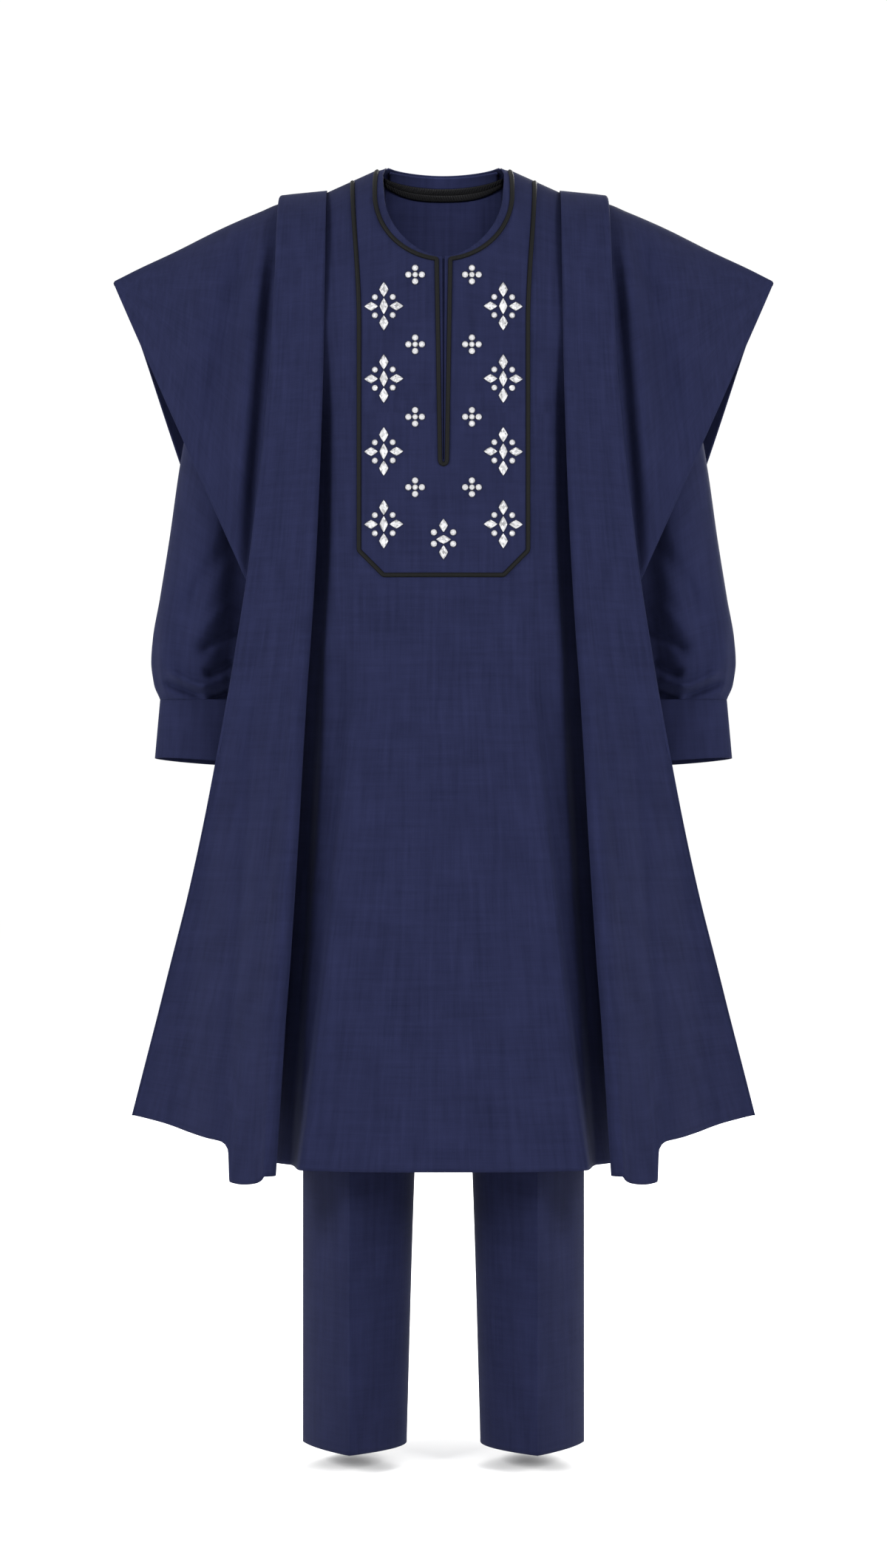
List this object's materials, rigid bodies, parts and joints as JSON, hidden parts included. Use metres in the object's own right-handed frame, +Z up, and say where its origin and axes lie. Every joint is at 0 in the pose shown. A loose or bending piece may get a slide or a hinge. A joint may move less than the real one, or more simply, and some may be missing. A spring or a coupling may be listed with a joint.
{
  "type": "agbada robe, tunic and trousers set",
  "caption": "Navy open robe with shoulder pleats and winged sleeves over a long tunic with a crystal-set bib, cuffed sleeves, and creased trousers, hollow as worn.",
  "frame": {"origin": "the point between the two sides of the neck, on the line of the shoulders, where the wearer carries the set", "axes": "+Z up along the body, +X to the right of someone facing the garment, -Y the way the garment faces"},
  "size_m": [0.751, 0.2989, 1.4528],
  "materials": {
    "navy_cloth": "plain weave with a soft matt sheen",
    "black_trim": "twisted cord with a low satin sheen",
    "crystal": "clear faceted glass with a silvered back"
  },
  "bodies": {
    "root": {"tunic_front": "navy_cloth", "tunic_back": "navy_cloth", "neck_and_slit_piping": "black_trim", "bib_piping": "black_trim", "slit_underlap": "navy_cloth", "back_neck_facing": "navy_cloth", "back_neck_braid": "black_trim", "tunic_sleeve_right": "navy_cloth", "tunic_sleeve_left": "navy_cloth", "tunic_cuff_right": "navy_cloth", "tunic_cuff_left": "navy_cloth", "robe_front_right": "navy_cloth", "robe_front_left": "navy_cloth", "robe_back": "navy_cloth", "robe_wing_right": "navy_cloth", "robe_wing_left": "navy_cloth", "trouser_leg_right": "navy_cloth", "trouser_leg_left": "navy_cloth", "waistband": "navy_cloth"}
  },
  "joints": []
}
